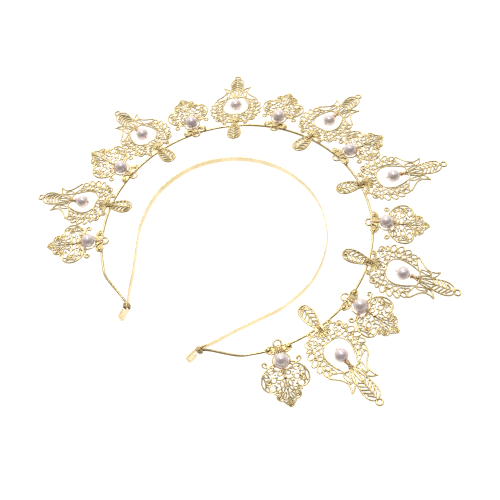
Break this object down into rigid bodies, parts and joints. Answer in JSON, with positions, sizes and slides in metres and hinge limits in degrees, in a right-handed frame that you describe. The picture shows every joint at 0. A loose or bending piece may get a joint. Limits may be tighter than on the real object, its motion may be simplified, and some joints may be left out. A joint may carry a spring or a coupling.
{
  "type": "halo crown",
  "caption": "Halo crown for the head: a flat metal headband carries a ring of wire set with gilt filigree plates, each with an imitation pearl threaded on copper wire.",
  "frame": {"origin": "middle of the lowest level: the plan's bounding box centre, at the height of the lowest plate tip", "axes": "+X across the head, +Y from the headband's open end to its apex, +Z square to the ring wire, the side that the pearls stand on"},
  "size_m": [0.2732, 0.2286, 0.0224],
  "materials": {
    "gilt_wire": "polished gold plate",
    "gilt_filigree": "polished gold plate on stamped openwork",
    "copper_wire": "bright rose copper",
    "pearl": "pearlescent coat, lilac pink"
  },
  "bodies": {
    "crown": {"headband": "gilt_wire", "end_binding_left": "copper_wire", "end_binding_right": "copper_wire", "halo_wire": "gilt_wire", "small_plate_1": "gilt_filigree", "small_pearl_wire_1": "copper_wire", "large_plate_1": "gilt_filigree", "large_pearl_wire_1": "copper_wire", "large_binding_1": "copper_wire", "small_plate_2": "gilt_filigree", "small_pearl_wire_2": "copper_wire", "large_plate_2": "gilt_filigree", "large_pearl_wire_2": "copper_wire", "large_binding_2": "copper_wire", "small_plate_3": "gilt_filigree", "small_pearl_wire_3": "copper_wire", "large_plate_3": "gilt_filigree", "large_pearl_wire_3": "copper_wire", "large_binding_3": "copper_wire", "small_plate_4": "gilt_filigree", "small_pearl_wire_4": "copper_wire", "large_plate_4": "gilt_filigree", "large_pearl_wire_4": "copper_wire", "large_binding_4": "copper_wire", "small_plate_5": "gilt_filigree", "small_pearl_wire_5": "copper_wire", "large_plate_5": "gilt_filigree", "large_pearl_wire_5": "copper_wire", "large_binding_5": "copper_wire", "small_plate_6": "gilt_filigree", "small_pearl_wire_6": "copper_wire", "large_plate_6": "gilt_filigree", "large_pearl_wire_6": "copper_wire", "large_binding_6": "copper_wire", "small_plate_7": "gilt_filigree", "small_pearl_wire_7": "copper_wire", "large_plate_7": "gilt_filigree", "large_pearl_wire_7": "copper_wire", "large_binding_7": "copper_wire", "small_plate_8": "gilt_filigree", "small_pearl_wire_8": "copper_wire"},
    "small_pearl_1": {"small_pearl_1": "pearl"},
    "large_pearl_1": {"large_pearl_1": "pearl"},
    "small_pearl_2": {"small_pearl_2": "pearl"},
    "large_pearl_2": {"large_pearl_2": "pearl"},
    "small_pearl_3": {"small_pearl_3": "pearl"},
    "large_pearl_3": {"large_pearl_3": "pearl"},
    "small_pearl_4": {"small_pearl_4": "pearl"},
    "large_pearl_4": {"large_pearl_4": "pearl"},
    "small_pearl_5": {"small_pearl_5": "pearl"},
    "large_pearl_5": {"large_pearl_5": "pearl"},
    "small_pearl_6": {"small_pearl_6": "pearl"},
    "large_pearl_6": {"large_pearl_6": "pearl"},
    "small_pearl_7": {"small_pearl_7": "pearl"},
    "large_pearl_7": {"large_pearl_7": "pearl"},
    "small_pearl_8": {"small_pearl_8": "pearl"}
  },
  "joints": [
    {"name": "small_pearl_1_spin", "type": "hinge", "parent": "crown", "child": "small_pearl_1", "pos_m": [-0.07522, -0.08305, 0.01823], "axis": [-0.8016, -0.5973, -0.0262], "continuous": true},
    {"name": "large_pearl_1_spin", "type": "hinge", "parent": "crown", "child": "large_pearl_1", "pos_m": [-0.10197, -0.05928, 0.0119], "axis": [-0.9411, -0.2526, -0.2247], "continuous": true},
    {"name": "small_pearl_2_spin", "type": "hinge", "parent": "crown", "child": "small_pearl_2", "pos_m": [-0.09321, -0.02714, 0.0183], "axis": [-0.9998, 0.0089, -0.0175], "continuous": true},
    {"name": "large_pearl_2_spin", "type": "hinge", "parent": "crown", "child": "large_pearl_2", "pos_m": [-0.10165, 0.00465, 0.01246], "axis": [-0.9392, 0.2796, -0.1993], "continuous": true},
    {"name": "small_pearl_3_spin", "type": "hinge", "parent": "crown", "child": "small_pearl_3", "pos_m": [-0.07549, 0.02725, 0.01728], "axis": [-0.7991, 0.5849, -0.1392], "continuous": true},
    {"name": "large_pearl_3_spin", "type": "hinge", "parent": "crown", "child": "large_pearl_3", "pos_m": [-0.06185, 0.05869, 0.01077], "axis": [-0.5466, 0.7907, -0.2756], "continuous": true},
    {"name": "small_pearl_4_spin", "type": "hinge", "parent": "crown", "child": "small_pearl_4", "pos_m": [-0.02764, 0.06146, 0.01684], "axis": [-0.2969, 0.9356, -0.1908], "continuous": true},
    {"name": "large_pearl_4_spin", "type": "hinge", "parent": "crown", "child": "large_pearl_4", "pos_m": [0.00128, 0.0786, 0.01171], "axis": [0.061, 0.9706, -0.233], "continuous": true},
    {"name": "small_pearl_5_spin", "type": "hinge", "parent": "crown", "child": "small_pearl_5", "pos_m": [0.02824, 0.06113, 0.01714], "axis": [0.3887, 0.9081, -0.1556], "continuous": true},
    {"name": "large_pearl_5_spin", "type": "hinge", "parent": "crown", "child": "large_pearl_5", "pos_m": [0.062, 0.05898, 0.01456], "axis": [0.6221, 0.776, -0.1043], "continuous": true},
    {"name": "small_pearl_6_spin", "type": "hinge", "parent": "crown", "child": "small_pearl_6", "pos_m": [0.07665, 0.02528, 0.01758], "axis": [0.8598, 0.5, -0.1041], "continuous": true},
    {"name": "large_pearl_6_spin", "type": "hinge", "parent": "crown", "child": "large_pearl_6", "pos_m": [0.10232, 0.00179, 0.01171], "axis": [0.9317, 0.2781, -0.2334], "continuous": true},
    {"name": "small_pearl_7_spin", "type": "hinge", "parent": "crown", "child": "small_pearl_7", "pos_m": [0.09344, -0.03243, 0.01676], "axis": [0.98, 0.0012, -0.1991], "continuous": true},
    {"name": "large_pearl_7_spin", "type": "hinge", "parent": "crown", "child": "large_pearl_7", "pos_m": [0.10037, -0.0645, 0.01455], "axis": [0.937, -0.3334, -0.1045], "continuous": true},
    {"name": "small_pearl_8_spin", "type": "hinge", "parent": "crown", "child": "small_pearl_8", "pos_m": [0.07352, -0.08588, 0.01639], "axis": [0.6997, -0.6727, -0.2406], "continuous": true}
  ]
}
